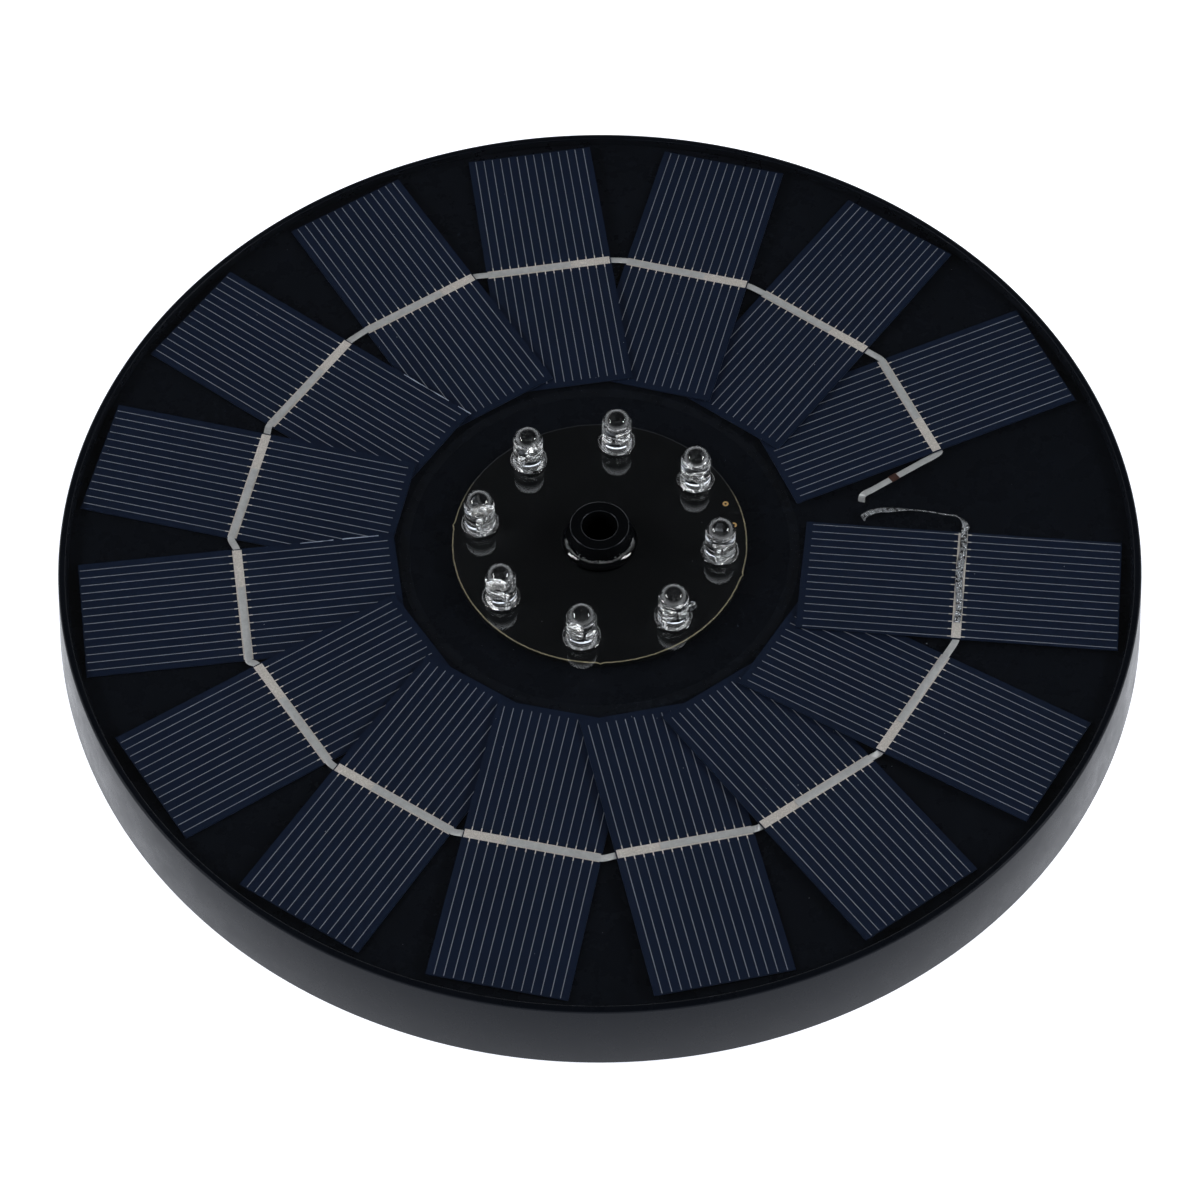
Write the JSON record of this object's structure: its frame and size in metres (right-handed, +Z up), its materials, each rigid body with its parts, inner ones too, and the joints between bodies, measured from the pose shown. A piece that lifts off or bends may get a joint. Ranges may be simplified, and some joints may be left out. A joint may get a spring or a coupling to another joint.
{
  "type": "solar floating fountain pump",
  "caption": "Round black floating disc with solar cells and a ring of LEDs under clear resin, a short central spout, and a small submersible pump below.",
  "frame": {"origin": "on the disc's axis, on the plane of the pump's flat bottom", "axes": "+Z up along the disc's axis and spout, +Y from the pump's intake towards its motor, +X towards the gap in the cell ring where the leads go in"},
  "size_m": [0.1808, 0.1808, 0.0474],
  "materials": {
    "float_plastic": "satin black ABS",
    "clear_resin": "clear cast resin, glossy",
    "silicon_cell": "dark blue silicon with silver print",
    "tinned_ribbon": "tinned copper ribbon",
    "black_board": "black solder mask on glass fibre",
    "led_epoxy": "water-clear epoxy",
    "float_foam": "closed-cell foam",
    "green_board": "green solder mask on glass fibre",
    "battery_pouch": "laminated foil pouch",
    "pump_plastic": "black moulded ABS",
    "rubber": "black nitrile",
    "filter_sponge": "open-cell sponge",
    "core_steel": "stacked laminations",
    "copper_winding": "enamelled copper wire",
    "white_acetal": "moulded acetal",
    "ferrite": "sintered ferrite",
    "ceramic": "polished ceramic",
    "pvc_sheath": "soft PVC"
  },
  "bodies": {
    "fountain": {"float_tray": "float_plastic", "bottom_cover": "float_plastic", "resin_fill": "clear_resin", "solar_cell_01": "silicon_cell", "solar_cell_02": "silicon_cell", "solar_cell_03": "silicon_cell", "solar_cell_04": "silicon_cell", "solar_cell_05": "silicon_cell", "solar_cell_06": "silicon_cell", "solar_cell_07": "silicon_cell", "solar_cell_08": "silicon_cell", "solar_cell_09": "silicon_cell", "solar_cell_10": "silicon_cell", "solar_cell_11": "silicon_cell", "solar_cell_12": "silicon_cell", "solar_cell_13": "silicon_cell", "solar_cell_14": "silicon_cell", "solar_cell_15": "silicon_cell", "tab_ribbon_01": "tinned_ribbon", "tab_ribbon_02": "tinned_ribbon", "tab_ribbon_03": "tinned_ribbon", "tab_ribbon_04": "tinned_ribbon", "tab_ribbon_05": "tinned_ribbon", "tab_ribbon_06": "tinned_ribbon", "tab_ribbon_07": "tinned_ribbon", "tab_ribbon_08": "tinned_ribbon", "tab_ribbon_09": "tinned_ribbon", "tab_ribbon_10": "tinned_ribbon", "tab_ribbon_11": "tinned_ribbon", "tab_ribbon_12": "tinned_ribbon", "tab_ribbon_13": "tinned_ribbon", "tab_ribbon_14": "tinned_ribbon", "tab_ribbon_15": "tinned_ribbon", "lead_ribbon": "tinned_ribbon", "led_board": "black_board", "led_01": "led_epoxy", "led_02": "led_epoxy", "led_03": "led_epoxy", "led_04": "led_epoxy", "led_05": "led_epoxy", "led_06": "led_epoxy", "led_07": "led_epoxy", "led_08": "led_epoxy", "foam_ring": "float_foam", "control_board": "green_board", "battery_pouch": "battery_pouch", "spout_tube": "pump_plastic", "pump_body": "pump_plastic", "volute_lid": "pump_plastic", "rear_cap": "pump_plastic", "spout_seal": "rubber", "rear_bush": "rubber", "stator_core": "core_steel", "stator_coil": "copper_winding", "impeller_shaft": "ceramic", "motor_lead": "pvc_sheath"},
    "rotor": {"impeller": "white_acetal", "rotor_magnet": "ferrite"},
    "intake": {"intake_cover": "pump_plastic", "filter_sponge": "filter_sponge"}
  },
  "joints": [
    {"name": "rotor_spin", "type": "hinge", "parent": "fountain", "child": "rotor", "pos_m": [-0.008, 0.0034, 0.014], "axis": [0, 1, 0], "continuous": true},
    {"name": "intake_pull", "type": "slide", "parent": "fountain", "child": "intake", "axis": [0, -1, 0], "range_m": [0, 0.03]}
  ]
}
